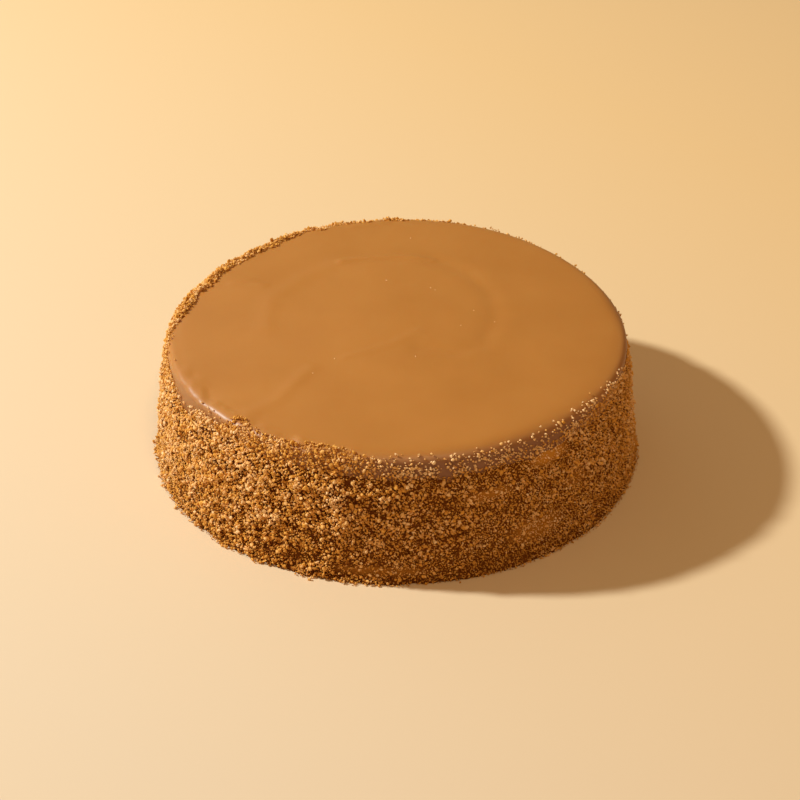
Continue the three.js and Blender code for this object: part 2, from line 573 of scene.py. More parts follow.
@dataclass(frozen=True)
class PressedCrumbFinish:
    """Fine crumb pressed into the icing: a dull brown paste, mottled at random with a darker brown; both
    browns are painted far darker than the crumbs, as shade in the gaps between them.
    """

    # Painted shade: both browns are darker than the crumbs, for the gaps between them.
    pit_shade: str = "#381000"
    face: str = "#763A04"
    bared: str = "#E29A3C"
    attribute: str = "bared"
    mottle_size: float = 1.3 * MM
    mottle_detail: float = 4.0
    grain_size: float = 0.7 * MM
    grain_height: float = 0.25 * MM
    roughness: float = 0.85
    shine: float = 0.15
    ior: float = 1.4

    def material(self) -> Material:
        """Make the material, which reads from the mesh how thin the crumb is.

        Returns:
            The finished material.
        """
        made = new_material("biscuit crumb, pressed")
        tree = made.node_tree
        place = add_node(tree, "ShaderNodeTexCoord", {}).outputs["Object"]
        mottle = add_noise(tree, place, self.mottle_size, self.mottle_detail)
        pressed = mix_colours(tree, mottle, linear(self.pit_shade), linear(self.face))
        bare = add_node(tree, "ShaderNodeAttribute", {}, attribute_name=self.attribute).outputs["Fac"]
        add_surface(
            made,
            {
                "Base Color": mix_colours(tree, bare, pressed, linear(self.bared)),
                "Roughness": self.roughness,
                "IOR": self.ior,
                "Specular IOR Level": self.shine,
                "Normal": add_grain(tree, place, self.grain_size, self.grain_height),
            },
        )
        return made


# Icing


@dataclass(frozen=True)
class SpatulaMark:
    """A low ridge that the spatula left on the top, along a few points in millimetres right and back."""

    path: tuple[tuple[float, float], ...]
    height: float
    width: float

    def relief(self, points: Array) -> Array:
        """Work out how far the mark stands out.

        Args:
            points: Places on the icing's face, one row each.

        Returns:
            Height of the mark at each place, negative in a groove.
        """
        path = np.array(self.path) * MM
        near = np.full(len(points), np.inf)
        for start, end in zip(path[:-1], path[1:]):
            way = end - start
            share = np.clip((points[:, :2] - start) @ way / (way @ way), 0, 1)
            off = points[:, :2] - start - share[:, None] * way
            near = np.minimum(near, np.hypot(off[:, 0], off[:, 1]))
        return self.height * np.exp(-((near / self.width * 2) ** 2))


@dataclass
class Icing:
    """Caramel icing over the top and the shoulder, down behind the crumbs."""

    form: CakeForm
    finish: CaramelFinish = CaramelFinish()
    name: str = "caramel_spread"
    columns: int = 360
    ring_step: float = 1.3 * MM
    dome: float = 3.2 * MM
    dome_skew: float = 0.55
    dome_turn: float = 65
    rim_ripple_size: float = 3.6 * MM
    rim_ripple: float = 0.6 * MM
    rim_shares: tuple[float, float] = (0.86, 0.92)
    rim_ripple_turns: tuple[float, float, float, float] = (-80, -60, -20, -5)
    top_slopes: tuple[float, float] = (0.2, 0.6)
    sway_size: float = 46 * MM
    sway: float = 0.45 * MM
    ripple_size: float = 17 * MM
    ripple: float = 0.1 * MM
    # Share of the mauve brown at each turn: crumb dust with painted shade, strongest on the shaded front
    # right, and a painted mauve reflection on the left shoulder.
    dusted_shaded: TurnLine = (
        (-80, 0), (-65, 0.45), (-18, 0.55), (-5, 0.8), (0, 1), (45, 1), (60, 0.7), (100, 0.5), (130, 0.3),
        (180, 0.3),
    )
    dusted_shaded_to: tuple[float, float] = (57 * MM, 61 * MM)
    marks: tuple[SpatulaMark, ...] = (
        SpatulaMark(((-26, 55), (-14, 57.5), (-2, 58), (8, 57.5), (16, 55.5)), 0.5 * MM, 4 * MM),
        SpatulaMark(((-58, -2), (-57, 22), (-42, 42), (-26, 55)), 0.24 * MM, 9 * MM),
        SpatulaMark(
            ((16, 55.5), (32, 44), (41, 27), (44, 5), (37, -19), (26, -24.5), (10, -22)), -0.36 * MM, 9 * MM
        ),
        SpatulaMark(((9, -9), (-2, -19), (-12, -24), (-23, -29)), 0.18 * MM, 5 * MM),
        SpatulaMark(((-37, -37), (-45, -50), (-50, -60), (-65, -71)), 0.26 * MM, 7 * MM),
        SpatulaMark(((-75, 37), (-68, 38), (-61, 35)), 0.25 * MM, 5 * MM),
        SpatulaMark(((-21, 89), (-14, 92), (-7, 93)), 0.25 * MM, 4 * MM),
    )

    def profile(self) -> list[tuple[float, float]]:
        """Draw the cap's section, from the axis under it round to the axis on top.

        Returns:
            Radius and height of each point.
        """
        form = self.form
        under = [(0.0, form.height - form.top_thickness)]
        under += form.shoulder(form.hidden_steps, form.top_thickness)[::-1]
        lip_radius = form.side_radius(form.lip_height)
        lip = [(lip_radius - form.lip_thickness, form.lip_height), (lip_radius, form.lip_height)]
        face = form.shoulder(form.shoulder_steps)
        rings = math.ceil(face[-1][0] / self.ring_step)
        top = [(face[-1][0] * (1 - ring / rings), form.height) for ring in range(1, rings + 1)]
        return under + lip + face + top

    def rise_of(self, points: Array) -> Array:
        """Read the rise of places on the icing's face from their radius and height.

        Args:
            points: The places, one row each.

        Returns:
            A rise for each place.
        """
        face = np.array(self.form.shoulder(self.form.shoulder_steps))
        inward = np.maximum(face[0, 0] - np.hypot(points[:, 0], points[:, 1]), 0)
        return points[:, 2] + inward * eased_step(points[:, 2], self.form.side_top, self.form.height)

    def relief(self, points: Array) -> Array:
        """Work out how far the spread icing stands out.

        Args:
            points: Places on the icing's face, one row each.

        Returns:
            Height over the plain form for each place.
        """
        reach = np.hypot(points[:, 0], points[:, 1]) / self.form.foot_radius
        angle = math.radians(self.dome_turn)
        skew = (points[:, 0] * math.sin(angle) - points[:, 1] * math.cos(angle)) / self.form.foot_radius
        height = self.dome * np.clip(1 - reach**2, 0, 1) * (1 + self.dome_skew * skew)
        near_rim = eased_step(reach, *self.rim_shares)
        turn = turn_of(points)
        start, full, fading, end = self.rim_ripple_turns
        near_rim *= eased_step(turn, start, full) * (1 - eased_step(turn, fading, end))
        height += self.rim_ripple * near_rim * lumps(points, self.rim_ripple_size, NoiseField.RIM_RIPPLE)
        height += self.sway * lumps(points, self.sway_size, NoiseField.ICING_SWAY)
        height += self.ripple * lumps(points, self.ripple_size, NoiseField.ICING_RIPPLE)
        for mark in self.marks:
            height += mark.relief(points)
        return height

    def lift(self, points: Array, upward: Array) -> Array:
        """How far the icing's face stands over the plain form at each place, 0 on the side."""
        return self.relief(points) * eased_step(upward, *self.top_slopes)

    def build(self) -> Object:
        """Model the icing.

        Returns:
            The finished piece, with its material.
        """
        piece = spin_profile(self.name, self.profile(), self.columns)
        points = points_of(piece)
        normals = normals_of(piece)
        turn = turn_of(points)
        # The mauve brown, crumb dust with painted shade and painted reflection, fades out up the shoulder.
        low = 1 - eased_step(points[:, 2], *self.dusted_shaded_to)
        mark_points(piece, self.finish.attribute, along_turns(self.dusted_shaded, turn) * low)
        wear = self.form.wear(turn, self.rise_of(points)) * (points[:, 2] > self.form.lip_height)
        out = self.lift(points, normals[:, 2]) * (points[:, 2] > self.form.side_top) - wear
        move_points(piece, self.form.settled(points + normals * out[:, None]))
        piece.data.materials.append(self.finish.material())
        fit_to_frame(piece, "caramel_icing")
        return piece


# Crumb coat


class CrumbKind(Enum):
    """Sizes that the biscuit broke to."""

    DUST = "dust"
    MEAL = "meal"
    FINE = "fine"
    SMALL = "small"
    GRIT = "grit"
    COARSE = "coarse"
    LARGE = "large"


@dataclass(frozen=True)
class CrumbBatch:
    """One kind of crumb and how it was strewn.

    Its sizes run from least to most. Rounds, 0 for eight faces and 1 for twenty, and uneven tell how it
    broke. The pulls tell how strongly it keeps to the coarse stretches of the coat, to the clumps and to the
    loose crumbs above the edge. The gap shade tone makes it darker or lighter where the coat is coarse:
    painted shade in the gaps for the small crumbs, a little lighter for the big ones.
    """

    kind: CrumbKind
    count: int
    least: float
    most: float
    rounds: int
    uneven: float
    seed: int
    coarse_pull: float
    clump_pull: float
    stray_pull: float
    gap_shade_tone: float


@dataclass(frozen=True)
class SkinSpot:
    """A round spot on the skin, in degrees and millimetres, and the share of crumb left or heaped there."""

    turn: float
    rise: float
    half_turn: float
    half_rise: float
    amount: float

    def reach(self, turn: Array, rise: Array) -> Array:
        """Find how far from the spot's middle places lie.

        Args:
            turn: Turn of each place.
            rise: Rise of each place.

        Returns:
            The square of the distance, 1 at the spot's border.
        """
        across = turn_apart(turn, self.turn) / self.half_turn
        up = (rise / MM - self.rise) / self.half_rise
        return across**2 + up**2


@dataclass(frozen=True)
class CrumbRule:
    """Where the crumbs lie: how high they reach in millimetres, how thickly and how coarse."""

    edge: TurnLine = (
        (-175, 64.5), (-165, 65.5), (-150, 67), (-140, 68), (-130, 69), (-120, 68.5), (-110, 67.5),
        (-100, 65), (-95, 63), (-90, 60.5), (-85, 59), (-80, 57), (-75, 53), (-70, 49), (-64, 47.5),
        (-60, 50), (-56, 53.5), (-50, 56.5), (-45, 58.5), (-43, 62.5), (-40, 63), (-37.5, 61.5), (-33, 62),
        (-30, 63.5), (-26, 62.5), (-20, 63), (-12, 63.5), (-6, 60), (-2, 53), (20, 53), (33, 52),
        (42, 54.5), (50, 57), (60, 58), (75, 57), (90, 54.5), (100, 54), (110, 55.5), (120, 58),
        (135, 58.5), (150, 59.5), (165, 61.5), (180, 63.5),
    )
    dense: TurnLine = (
        (-60, 0.93), (-25, 0.88), (-5, 0.74), (20, 0.72), (45, 0.8), (90, 0.9), (130, 1.0), (180, 1.0),
    )
    loose_edge: float = 5 * MM
    loose_share: float = 0.25
    loose_rises: tuple[float, float] = (52 * MM, 55 * MM)
    edge_sway: float = 2.0 * MM
    edge_sway_size: float = 7 * MM
    stray: TurnLine = (
        (-60, 1.8), (-30, 2.2), (-12, 2.5), (-4, 10.0), (20, 10.0), (35, 8.0), (48, 5.0), (60, 2.0),
        (80, 0.8), (140, 0.8), (165, 1.2), (180, 1.0), (-165, 1.0),
    )
    stray_share: float = 0.75
    stray_clump: float = 1.0
    stray_end: tuple[float, float] = (59.5 * MM, 62.5 * MM)
    coarse: TurnLine = (
        (-120, 0.55), (-75, 0.8), (-35, 1.0), (-12, 0.8), (5, 0.45), (25, 0.25), (40, 0.2), (90, 0.2),
        (140, 0.35), (180, 0.45),
    )
    coarse_low: float = 0.6
    coarse_heights: tuple[float, float] = (12 * MM, 32 * MM)
    thin: tuple[SkinSpot, ...] = (
        SkinSpot(38.5, 49, 6, 4.5, 0.3),
        SkinSpot(22, 39.5, 6, 3, 0.5),
        SkinSpot(34, 15, 8, 6, 0.55),
        SkinSpot(47, 30, 5, 5, 0.65),
        SkinSpot(-4, 5.5, 11, 2.5, 0.6),
        SkinSpot(118, 38, 8, 5, 0.5),
        SkinSpot(205, 20, 9, 5, 0.55),
    )
    # Crumbs lighter or darker at each turn: painted shade on the lit left front, painted light on the shaded
    # right.
    bake_and_shade: TurnLine = (
        (-70, 0.02), (-55, -0.02), (-35, -0.08), (-20, -0.06), (0, -0.01), (20, 0.03), (50, 0.05),
        (90, 0.03), (150, 0.0),
    )
    # Painted shade: crumbs darker near the foot.
    foot_shade: float = -0.07
    foot_heights: tuple[float, float] = (3 * MM, 14 * MM)
    clump_size: float = 5 * MM
    small_clumps: float = 0.7
    top_of_strays: float = 72 * MM

    def edge_rise(self, turn: Array, points: Array) -> Array:
        """Rise that the close crumbs reach to at each place."""
        sway = lumps(points, self.edge_sway_size, NoiseField.CRUMB_EDGE)
        return along_turns(self.edge, turn) * MM + self.edge_sway * sway

    def coverage(self, turn: Array, rise: Array, points: Array) -> Array:
        """Find how thickly crumbs lie.

        Args:
            turn: Turn of each place.
            rise: Rise of each place.
            points: The places, one row each.

        Returns:
            Share from 0, bare, to 1, close together.
        """
        over = rise - self.edge_rise(turn, points)
        reach = along_turns(self.stray, turn) * MM
        strays = self.stray_share * np.exp(-np.maximum(over, 0) / reach)
        strays = strays * (1 - eased_step(rise, *self.stray_end))
        loose = eased_step(over, -self.loose_edge, 0) * eased_step(rise, *self.loose_rises)
        close = along_turns(self.dense, turn) * (1 - self.loose_share * loose)
        return np.where(over < 0, close, strays) * self.thickness(turn, rise)

    def thickness(self, turn: Array, rise: Array) -> Array:
        """Find how much of the coat the thin spots leave.

        Args:
            turn: Turn of each place.
            rise: Rise of each place.

        Returns:
            Share from 0 to 1.
        """
        left = np.ones(len(turn))
        for spot in self.thin:
            left *= 1 - (1 - spot.amount) * np.exp(-(spot.reach(turn, rise) ** 2))
        return left

    def coarseness(self, turn: Array, rise: Array) -> Array:
        """How coarse the crumbs are at each place, from 0, fine, to 1, coarse."""
        high = eased_step(rise, *self.coarse_heights)
        return along_turns(self.coarse, turn) * (self.coarse_low + (1 - self.coarse_low) * high)

    def bake_and_shade_tone(self, turn: Array, rise: Array) -> Array:
        """How much lighter than usual the crumbs are painted at each place, or darker if negative: painted
        shade and light by turn, and painted shade near the foot.
        """
        low = 1 - eased_step(rise, *self.foot_heights)
        return along_turns(self.bake_and_shade, turn) + self.foot_shade * low

    def clumping(self, points: Array) -> Array:
        """Find where crumbs stand in clumps.

        Args:
            points: The places, one row each.

        Returns:
            Share from -1, between clumps, to 1, in the middle of one.
        """
        wide = lumps(points, self.clump_size, NoiseField.CLUMPS)
        small = lumps(points, self.clump_size / 2, NoiseField.SMALL_CLUMPS)
        return np.clip(wide + self.small_clumps * small, -1, 1)


@dataclass
class PressedCoat:
    """The cake itself, with the fine crumb that is pressed into its side as relief."""

    form: CakeForm
    rule: CrumbRule
    finish: PressedCrumbFinish = PressedCrumbFinish()
    name: str = "pressed_crumb_cake"
    columns: int = 1180
    rows: int = 76
    least: float = 0.3 * MM
    usual: float = 0.8 * MM
    coarse_extra: float = 0.9 * MM
    clump_height: float = 0.75 * MM
    bump_sizes: tuple[float, float] = (3.0 * MM, 1.8 * MM)
    bumps: tuple[float, float] = (0.8 * MM, 0.8 * MM)
    fine_share: float = 0.35
    fine_bared: float = 0.08
    shoulder_gap: float = 0.5 * MM
    edge_back: float = 1.0 * MM
    edge_taper: float = 7 * MM
    edge_sunk: float = 0.4 * MM
    foot_spill: float = 0.7 * MM
    spill_height: float = 3 * MM
    side_margin: float = 0.9
    floor_share: float = 1e-6
    match_distance: float = 0.01 * MM

    @property
    def highest(self) -> float:
        """Rise past which the pressed crumb doesn't go, just under the shoulder."""
        return self.form.side_top - self.shoulder_gap

    def edge(self, turn: Array, points: Array) -> Array:
        """Rise of the pressed crumb's upper edge at each place."""
        return np.minimum(self.rule.edge_rise(turn, points) - self.edge_back, self.highest)

    def edge_round(self, turn: Array) -> Array:
        """Rise of the pressed crumb's upper edge at each turn, read just under the shoulder."""
        return self.edge(turn, self.form.on_skin(turn, np.full(len(turn), self.highest)))

    def bumpiness(self, points: Array) -> Array:
        """Work out the clumps and lumps of the pressed crumb.

        Args:
            points: The places, one row each.

        Returns:
            How far each place stands out, negative in a hollow.
        """
        out = self.clump_height * self.rule.clumping(points)
        for number, (size, height) in enumerate(zip(self.bump_sizes, self.bumps)):
            out += height * lumps(points, size, NoiseField.BUMPS + number)
        return out

    def depth(self, turn: Array, rise: Array) -> Array:
        """Work out how far the pressed crumb stands out from the skin.

        Args:
            turn: Turn of each place.
            rise: Rise of each place.

        Returns:
            A distance for each place, which tapers to 0 at the edge.
        """
        points = self.form.on_skin(turn, rise)
        left = self.rule.thickness(turn, rise)
        coarse = self.rule.coarseness(turn, rise)
        full = self.usual + self.coarse_extra * coarse
        full += self.bumpiness(points) * (self.fine_share + (1 - self.fine_share) * coarse)
        full = np.maximum(self.least + (full - self.least) * left, 0)
        under = np.sqrt(eased_step(self.edge(turn, points) - rise, 0, self.edge_taper))
        return full * under + self.foot_spill * np.exp(-rise / self.spill_height)

    def profile(self) -> list[tuple[float, float]]:
        """Draw the cake's section, with rows up its side.

        Returns:
            Radius and height of each point, from the axis under the cake round to the axis on top.
        """
        form = self.form
        heights = np.linspace(0, self.highest, self.rows + 1)
        side = [(form.side_radius(height) + self.usual, height) for height in heights.tolist()]
        seat = form.lip_height - form.clearance
        lip_radius = form.side_radius(form.lip_height)
        hidden = [
            (form.side_radius(self.highest) - 2 * self.edge_sunk, self.highest),
            (lip_radius + form.clearance, seat),
            (lip_radius - form.lip_thickness - form.clearance, seat),
        ]
        under = form.shoulder(form.hidden_steps, form.top_thickness + form.clearance)
        return [(0.0, 0.0), *side, *hidden, *under, (0.0, under[-1][1])]

    def build(self) -> Object:
        """Model the cake and press the crumb's relief into its side.

        Returns:
            The finished piece, with its material.
        """
        form = self.form
        piece = spin_profile(self.name, self.profile(), self.columns)
        points = points_of(piece)
        turn = turn_of(points)
        beyond = np.hypot(points[:, 0], points[:, 1]) - form.side_radius(points[:, 2])
        on_side = beyond > self.side_margin * self.usual
        inner = np.abs(beyond + 2 * self.edge_sunk) < self.match_distance
        side_turn = turn[on_side]
        share = points[on_side, 2] / self.highest
        rise = share * self.edge_round(side_turn)
        depth = self.depth(side_turn, rise)
        sunk = self.edge_sunk * (1 - eased_step(depth, 0, self.usual / 2))
        shaped = form.on_skin(side_turn, rise, depth - sunk)
        shaped[:, 2] = np.where(share < self.floor_share, 0, shaped[:, 2])
        points[on_side] = shaped
        points[inner] = form.on_skin(turn[inner], self.edge_round(turn[inner]), -2 * self.edge_sunk)
        bared = np.zeros(len(points))
        fine = self.fine_bared * (1 - self.rule.coarseness(side_turn, rise))
        bared[on_side] = np.maximum(1 - self.rule.thickness(side_turn, rise), fine)
        mark_points(piece, self.finish.attribute, bared)
        move_points(piece, form.settled(points))
        piece.data.materials.append(self.finish.material())
        fit_to_frame(piece, "cake_body")
        return piece


@dataclass
class CrumbCoat:
    """The crumbs that stand out from the coat, one mesh for each kind."""

    form: CakeForm
    rule: CrumbRule
    pressed: PressedCoat
    icing: Icing
    finish: CrumbFinish = CrumbFinish()
    batches: tuple[CrumbBatch, ...] = (
        CrumbBatch(CrumbKind.DUST, 24500, 0.5 * MM, 0.8 * MM, 0, 0.5, 101, -1.0, 0.0, 0.03, -0.45),
        CrumbBatch(CrumbKind.MEAL, 24500, 0.6 * MM, 0.9 * MM, 0, 0.5, 107, -0.9, 0.0, 0.06, -0.35),
        CrumbBatch(CrumbKind.FINE, 24500, 0.7 * MM, 1.05 * MM, 0, 0.5, 102, -0.8, 0.1, 0.15, -0.2),
        CrumbBatch(CrumbKind.SMALL, 18500, 0.95 * MM, 1.4 * MM, 0, 0.5, 103, 0.5, 0.2, 0.45, 0.0),
        CrumbBatch(CrumbKind.GRIT, 16000, 1.2 * MM, 1.75 * MM, 0, 0.5, 106, 1.0, 0.4, 0.5, 0.04),
        CrumbBatch(CrumbKind.COARSE, 4000, 1.6 * MM, 2.4 * MM, 1, 0.55, 104, 1.1, 0.65, 0.3, 0.04),
        CrumbBatch(CrumbKind.LARGE, 350, 2.1 * MM, 2.8 * MM, 1, 0.5, 105, 1.3, 0.8, 0.0, 0.0),
    )
    tries_each: int = 10
    even_steps: tuple[float, float] = (0.7548776662, 0.5698402910)
    turn_jitter: float = 0.3
    keep_share: float = 0.4
    size_power: float = 1.5
    sink: tuple[float, float] = (0.0, 0.55)
    stray_stand: float = 0.1
    squash: tuple[float, float] = (0.75, 1.3)
    heap_turns: tuple[float, float] = (-178, -88)
    heap_fades: tuple[float, float] = (50, 12)
    heap_rises: tuple[float, float] = (56 * MM, 71 * MM)
    heap_patches: tuple[float, float] = (-0.9, 0.4)
    heap: float = 1.4 * MM
    heap_crowd: float = 1.2
    heap_size: float = 8 * MM
    heap_tone: float = -0.08
    clumps: tuple[SkinSpot, ...] = (
        SkinSpot(-178, 62, 3, 2.5, 1.1),
        SkinSpot(-163, 62, 2.5, 2, 1.0),
        SkinSpot(-154, 62.5, 3, 2, 1.0),
        SkinSpot(-147, 63, 2, 2, 1.0),
        SkinSpot(152, 61, 1.2, 1.5, 1.0),
        SkinSpot(101, 57, 3, 2, 0.8),
    )
    floor_gap: float = 0.05 * MM
    foot_loose: float = 1.8 * MM
    foot_rise: float = 2.5 * MM
    specks: tuple[tuple[float, float], ...] = (
        (-5, 36), (15, 29), (17, 27), (34, 9), (43, 0), (28, -4), (6, 77), (-27, -30), (8, -29), (-36, -41),
    )
    speck_sizes: tuple[float, float] = (0.5 * MM, 0.8 * MM)
    speck_seed: int = 108
    usual_tone: float = 0.56
    fine_tone: float = -0.06
    thin_tone: float = 0.35
    stray_lit_tone: float = 0.18
    stray_lit_fronts: tuple[float, float] = (0, 0.5)
    own_tone: float = 0.1
    relief_shade_tone: float = 0.12
    cloud_tone: float = 0.1
    cloud_size: float = 13 * MM
    map_share: float = 0.8
    material: Material | None = field(default=None, init=False)

    def lump(self, rounds: int) -> tuple[Array, Array]:
        """Model one plain lump of unit diameter, to be broken unevenly for each crumb.

        Args:
            rounds: 0 for eight faces and 1 for twenty.

        Returns:
            Its points and the corners of its triangles.
        """
        radius = 0.5
        bpy.ops.object.select_all(action="DESELECT")
        if rounds == 0:
            bpy.ops.mesh.primitive_cone_add(
                vertices=4,
                radius1=radius,
                depth=radius,
                end_fill_type="NOTHING",
                location=(0, 0, radius / 2),
            )
            bpy.ops.object.transform_apply()
            bpy.ops.object.mode_set(mode="EDIT")
            bpy.ops.mesh.select_all(action="SELECT")
            bpy.ops.mesh.symmetrize(direction="POSITIVE_Z")
            bpy.ops.mesh.normals_make_consistent(inside=False)
            bpy.ops.object.mode_set(mode="OBJECT")
        else:
            bpy.ops.mesh.primitive_ico_sphere_add(subdivisions=rounds, radius=radius)
        start = bpy.context.object
        points = points_of(start)
        corners = np.array([face.vertices[:] for face in start.data.polygons])
        mesh = start.data
        bpy.data.objects.remove(start)
        bpy.data.meshes.remove(mesh)
        return points, corners

    def strewn(self, batch: CrumbBatch, random: np.random.Generator) -> tuple[Array, Array]:
        """Strew a batch evenly and keep what the rule lets lie.

        Args:
            batch: The kind of crumb and how many.
            random: Source of chance.

        Returns:
            The turn and the rise of each crumb.
        """
        tries = self.tries_each * batch.count
        order = np.arange(tries) + random.random()
        turn_step, rise_step = self.even_steps
        turn = (order * turn_step % 1) * FULL_TURN - FULL_TURN / 2
        rise = (order * rise_step % 1) * self.rule.top_of_strays
        turn = turn + random.normal(0, self.turn_jitter, tries)
        points = self.form.on_skin(turn, rise)
        chance = self.rule.coverage(turn, rise, points)
        coarse = self.rule.coarseness(turn, rise)
        loose = rise > self.rule.edge_rise(turn, points)
        close_pull = np.clip(0.5 + batch.coarse_pull * (coarse - 0.5), 0, 1)
        chance = chance * np.where(loose, batch.stray_pull, close_pull)
        clump_pull = np.where(loose, self.rule.stray_clump, batch.clump_pull)
        chance = chance * np.clip(1 + clump_pull * self.rule.clumping(points), 0, 2)
        chance = chance * (1 + self.heap_crowd * self.heap_share(turn, rise))
        kept = np.flatnonzero(random.random(tries) < chance * self.keep_share)[: batch.count]
        LOG.info("%s: %d of %d crumbs lie", batch.kind.value, len(kept), batch.count)
        return turn[kept], rise[kept]

    def turned(self, count: int, random: np.random.Generator) -> Array:
        """Turn each crumb in any direction.

        Args:
            count: How many crumbs.
            random: Source of chance.

        Returns:
            A turn matrix for each crumb.
        """
        spin = random.normal(size=(count, 4))
        w, x, y, z = (spin / np.linalg.norm(spin, axis=1)[:, None]).T
        rows = [
            [1 - 2 * (y * y + z * z), 2 * (x * y - z * w), 2 * (x * z + y * w)],
            [2 * (x * y + z * w), 1 - 2 * (x * x + z * z), 2 * (y * z - x * w)],
            [2 * (x * z - y * w), 2 * (y * z + x * w), 1 - 2 * (x * x + y * y)],
        ]
        return np.array(rows).transpose(2, 0, 1)

    def heap_share(self, turn: Array, rise: Array) -> Array:
        """Find where crumbs lie heaped along the rim.

        Args:
            turn: Turn of each place.
            rise: Rise of each place.

        Returns:
            Share from 0 to 1, in the middle of the ridge.
        """
        first, last = self.heap_turns
        fade_in, fade_out = self.heap_fades
        low, high = self.heap_rises
        middle = (low + high) / 2
        along = eased_step(turn, first, first + fade_in) * (1 - eased_step(turn, last - fade_out, last))
        patchy = lumps(self.form.on_skin(turn, rise), self.heap_size, NoiseField.HEAPS)
        along *= eased_step(patchy, *self.heap_patches)
        share = along * eased_step(rise, low, middle) * (1 - eased_step(rise, middle, high))
        for clump in self.clumps:
            share = np.maximum(share, clump.amount * np.exp(-clump.reach(turn, rise)))
        return share

    def broken(
        self, batch: CrumbBatch, shape: Array, count: int, random: np.random.Generator
    ) -> tuple[Array, Array]:
        """Break lumps unevenly and turn them.

        Args:
            batch: The kind of crumb.
            shape: Points of one plain lump.
            count: How many crumbs.
            random: Source of chance.

        Returns:
            Each crumb's size and the points of each crumb about its middle.
        """
        size = batch.least + (batch.most - batch.least) * random.random(count) ** self.size_power
        points = shape[None] * (1 - batch.uneven * random.random((count, len(shape), 1)))
        points = points * random.uniform(*self.squash, (count, 1, 3))
        points = np.einsum("cij,cpj->cpi", self.turned(count, random), points) * size[:, None, None]
        return size, points

    def build(self, batch: CrumbBatch) -> Object:
        """Break, turn and place a batch of crumbs as one joined mesh.

        Args:
            batch: The kind of crumb and how many.

        Returns:
            The finished piece, with its material.
        """
        random = np.random.default_rng(batch.seed)
        turn, rise = self.strewn(batch, random)
        count = len(turn)
        shape, corners = self.lump(batch.rounds)
        size, broken = self.broken(batch, shape, count, random)
        flat = self.form.on_skin(turn, rise)
        strays = rise > self.rule.edge_rise(turn, flat)
        heaped = self.heap_share(turn, rise)
        out = self.pressed.depth(turn, rise) + size * random.uniform(*self.sink, count)
        out = out + self.stray_stand * size * strays + self.icing.lift(flat, self.form.skin(rise)[3])
        out = out + self.heap * heaped * random.random(count)
        out = out + self.foot_loose * random.random(count) ** 2 * np.exp(-rise / self.foot_rise)
        places = self.form.settled(self.form.on_skin(turn, rise, out))
        points = broken + places[:, None, :]
        points[..., 2] = np.maximum(points[..., 2], self.floor_gap)
        piece = self.joined(f"{batch.kind.value}_crumbs", points, corners)
        tone = self.usual_tone + self.own_tone * random.normal(size=count)
        tone = tone + self.cloud_tone * lumps(places, self.cloud_size, NoiseField.BAKE_CLOUDS)
        # Painted shade and light: crumbs darker over hollows of the pressed coat, lighter over its lumps.
        tone = tone + self.relief_shade_tone * self.pressed.bumpiness(flat) / MM
        # Crumbs painted lighter or darker by turn and darker near the foot, as painted shade and light;
        # heaped crumbs are darker.
        tone = tone + self.rule.bake_and_shade_tone(turn, rise) + self.heap_tone * heaped
        coarse = self.rule.coarseness(turn, rise)
        # Painted shade: small crumbs darker in the gaps of the coarse coat, big ones a little lighter.
        tone = tone + self.fine_tone * (1 - coarse) + batch.gap_shade_tone * coarse
        tone = tone + self.thin_tone * (1 - self.rule.thickness(turn, rise))
        # Painted light: loose crumbs on the front are lighter, as if lit where they stand over the shade of
        # the shoulder.
        tone = tone + self.stray_lit_tone * strays * eased_step(np.cos(np.radians(turn)), *self.stray_lit_fronts)
        self.paint(piece, np.clip(tone, 0, 1), shape, corners)
        fit_to_frame(piece, "cake_body")
        return piece

    def sprinkle(self) -> Object:
        """Lay the few tiny crumbs that fell on the top.

        Returns:
            The finished piece, with its material.
        """
        random = np.random.default_rng(self.speck_seed)
        count = len(self.specks)
        spots = np.column_stack([np.array(self.specks) * MM, np.full(count, self.form.height)])
        spots[:, 2] += self.icing.relief(spots)
        shape, corners = self.lump(0)
        size = random.uniform(*self.speck_sizes, count)
        broken = np.einsum("cij,pj->cpi", self.turned(count, random), shape) * size[:, None, None]
        piece = self.joined("fallen_crumbs", broken + self.form.settled(spots)[:, None, :], corners)
        self.paint(piece, np.ones(count), shape, corners)
        fit_to_frame(piece, "cake_body")
        return piece

    def joined(self, name: str, points: Array, corners: Array) -> Object:
        """Make one mesh of all the crumbs.

        Args:
            name: Name of the piece.
            points: The points of each crumb, crumb by crumb.
            corners: Corners of one crumb's triangles, one row each.

        Returns:
            The piece.
        """
        count, each = points.shape[:2]
        faces = (corners[None] + (np.arange(count) * each)[:, None, None]).reshape(-1, 3)
        mesh = bpy.data.meshes.new(name)
        mesh.vertices.add(count * each)
        mesh.vertices.foreach_set("co", points.ravel())
        mesh.loops.add(faces.size)
        mesh.loops.foreach_set("vertex_index", faces.ravel().astype(np.int32))
        mesh.polygons.add(len(faces))
        mesh.polygons.foreach_set("loop_start", np.arange(0, faces.size, 3, dtype=np.int32))
        mesh.update(calc_edges=True)
        mesh.shade_flat()
        piece = bpy.data.objects.new(name, mesh)
        bpy.context.scene.collection.objects.link(piece)
        return piece

